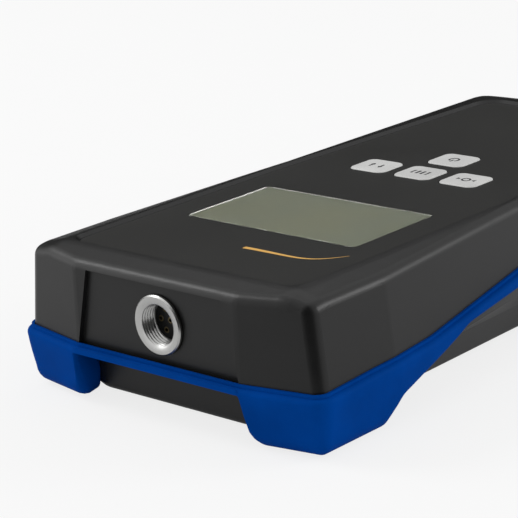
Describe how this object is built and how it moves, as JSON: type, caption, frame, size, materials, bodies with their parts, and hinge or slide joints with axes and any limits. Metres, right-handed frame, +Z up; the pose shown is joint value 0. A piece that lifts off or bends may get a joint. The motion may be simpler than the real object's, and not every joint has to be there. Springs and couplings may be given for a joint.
{
  "type": "gauss meter",
  "caption": "Handheld magnetic field meter with a blank display, flat keys, a soft bumper with corner feet and a round threaded probe socket in its end.",
  "frame": {"origin": "on the surface that the feet stand on, below the middle of the outline", "axes": "+Z up out of the display, -Y towards the probe socket, +X to the right when the socket end is nearest"},
  "size_m": [0.085, 0.165, 0.0325],
  "materials": {
    "case_black": "fine matte texture, moulded ABS",
    "bumper_blue": "smooth soft thermoplastic rubber",
    "overlay_grey": "printed film, satin",
    "window_clear": "clear pane over a grey-green display",
    "key_grey": "smooth satin",
    "stem_black": "moulded",
    "switch_metal": "stamped cover",
    "board_green": "solder resist",
    "screw_steel": "zinc plated",
    "lcd_glass": "polished",
    "zebra_rubber": "soft silicone",
    "backlight_white": "diffusing",
    "chip_black": "moulded epoxy",
    "capacitor_can": "drawn can",
    "crystal_can": "drawn can",
    "socket_metal": "satin nickel plate",
    "insert_black": "moulded insulator",
    "contact_gold": "gold plated",
    "cell_jacket": "plain printed jacket",
    "spring_steel": "nickel plated strip"
  },
  "bodies": {
    "case": {"upper_shell": "case_black", "lower_shell": "case_black", "bumper": "bumper_blue", "front_overlay": "overlay_grey", "display_window": "window_clear", "key_switches": "switch_metal", "main_board": "board_green", "board_screws": "screw_steel", "case_screws": "screw_steel", "lcd_glass": "lcd_glass", "lcd_contact_strips": "zebra_rubber", "lcd_backlight": "backlight_white", "lcd_frame": "stem_black", "processor": "chip_black", "amplifier_chips": "chip_black", "board_capacitors": "capacitor_can", "crystal": "crystal_can", "buzzer": "chip_black", "probe_socket": "socket_metal", "socket_gasket": "zebra_rubber", "socket_nut": "socket_metal", "socket_insert": "insert_black", "socket_contacts": "contact_gold", "socket_board": "board_green", "board_link_pins": "contact_gold", "battery_cell_1": "cell_jacket", "battery_cell_2": "cell_jacket", "battery_cell_3": "cell_jacket", "battery_front_contacts": "spring_steel", "battery_rear_contacts": "spring_steel", "battery_return_strip": "spring_steel"},
    "range_button": {"key_range": "key_grey", "range_stem": "stem_black"},
    "hold_button": {"key_hold": "key_grey", "hold_stem": "stem_black"},
    "zero_button": {"key_zero": "key_grey", "zero_stem": "stem_black"},
    "power_button": {"key_power": "key_grey", "power_stem": "stem_black"},
    "door": {"battery_door": "case_black"}
  },
  "joints": [
    {"name": "range_press", "type": "slide", "parent": "case", "child": "range_button", "axis": [0, 0, -1], "range_m": [0, 0.0004], "stiffness_N_per_m": 2000},
    {"name": "hold_press", "type": "slide", "parent": "case", "child": "hold_button", "axis": [0, 0, -1], "range_m": [0, 0.0004], "stiffness_N_per_m": 2000},
    {"name": "zero_press", "type": "slide", "parent": "case", "child": "zero_button", "axis": [0, 0, -1], "range_m": [0, 0.0004], "stiffness_N_per_m": 2000},
    {"name": "power_press", "type": "slide", "parent": "case", "child": "power_button", "axis": [0, 0, -1], "range_m": [0, 0.0004], "stiffness_N_per_m": 2000},
    {"name": "door_slide", "type": "slide", "parent": "case", "child": "door", "axis": [0, 1, 0], "range_m": [0, 0.06]}
  ]
}
